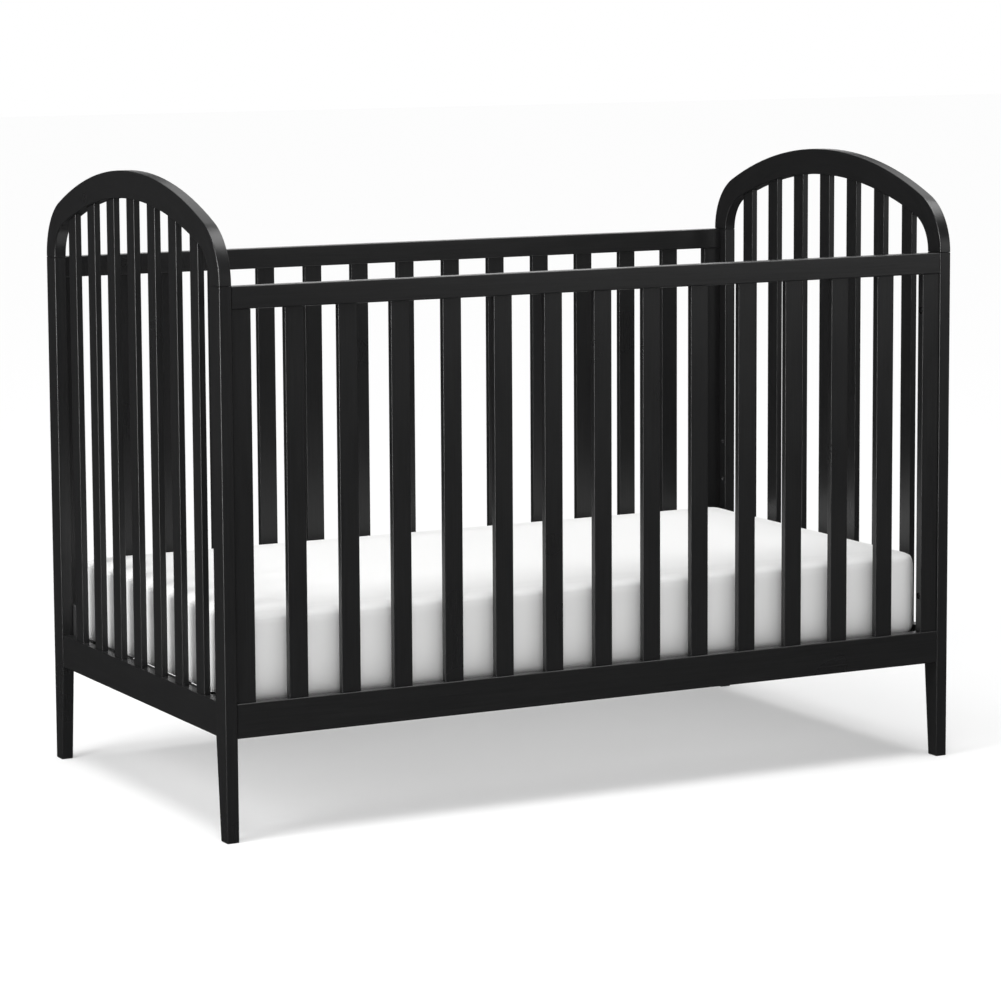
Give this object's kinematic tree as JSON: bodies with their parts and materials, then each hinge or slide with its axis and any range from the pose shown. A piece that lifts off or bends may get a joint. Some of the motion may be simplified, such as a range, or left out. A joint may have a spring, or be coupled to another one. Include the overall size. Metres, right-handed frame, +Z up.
{
  "type": "baby crib",
  "caption": "Full-size wooden baby crib with arched ends, slatted sides, an adjustable wire spring support and a mattress.",
  "frame": {"origin": "on the floor, under the centre of the crib", "axes": "+X along the crib towards its right end, +Y from the front panel to the back one, +Z up"},
  "size_m": [1.372, 0.753, 1.0484],
  "materials": {
    "painted_wood": "satin black paint on smooth hardwood, edges rounded over",
    "frame_steel": "black powder coat",
    "spring_wire": "black enamel on the deck's wires and the support's screws, glossier than the frame",
    "mattress_cover": "smooth white woven cover"
  },
  "bodies": {
    "crib": {"left_arch": "painted_wood", "left_front_post": "painted_wood", "left_back_post": "painted_wood", "left_bottom_rail": "painted_wood", "left_slat_1": "painted_wood", "left_slat_2": "painted_wood", "left_slat_3": "painted_wood", "left_slat_4": "painted_wood", "left_slat_5": "painted_wood", "left_slat_6": "painted_wood", "left_slat_7": "painted_wood", "right_arch": "painted_wood", "right_front_post": "painted_wood", "right_back_post": "painted_wood", "right_bottom_rail": "painted_wood", "right_slat_1": "painted_wood", "right_slat_2": "painted_wood", "right_slat_3": "painted_wood", "right_slat_4": "painted_wood", "right_slat_5": "painted_wood", "right_slat_6": "painted_wood", "right_slat_7": "painted_wood", "front_top_rail": "painted_wood", "front_bottom_rail": "painted_wood", "front_left_stile": "painted_wood", "front_right_stile": "painted_wood", "front_slat_01": "painted_wood", "front_slat_02": "painted_wood", "front_slat_03": "painted_wood", "front_slat_04": "painted_wood", "front_slat_05": "painted_wood", "front_slat_06": "painted_wood", "front_slat_07": "painted_wood", "front_slat_08": "painted_wood", "front_slat_09": "painted_wood", "front_slat_10": "painted_wood", "front_slat_11": "painted_wood", "front_slat_12": "painted_wood", "front_slat_13": "painted_wood", "back_top_rail": "painted_wood", "back_bottom_rail": "painted_wood", "back_left_stile": "painted_wood", "back_right_stile": "painted_wood", "back_slat_01": "painted_wood", "back_slat_02": "painted_wood", "back_slat_03": "painted_wood", "back_slat_04": "painted_wood", "back_slat_05": "painted_wood", "back_slat_06": "painted_wood", "back_slat_07": "painted_wood", "back_slat_08": "painted_wood", "back_slat_09": "painted_wood", "back_slat_10": "painted_wood", "back_slat_11": "painted_wood", "back_slat_12": "painted_wood", "back_slat_13": "painted_wood"},
    "mattress_support": {"support_frame": "frame_steel", "spring_deck": "spring_wire"},
    "mattress": {"mattress": "mattress_cover"}
  },
  "joints": [
    {"name": "support_height", "type": "slide", "parent": "crib", "child": "mattress_support", "axis": [0, 0, 1], "range_m": [0, 0.216]},
    {"name": "mattress_lift", "type": "slide", "parent": "mattress_support", "child": "mattress", "axis": [0, 0, 1], "range_m": [0, 0.84]}
  ]
}
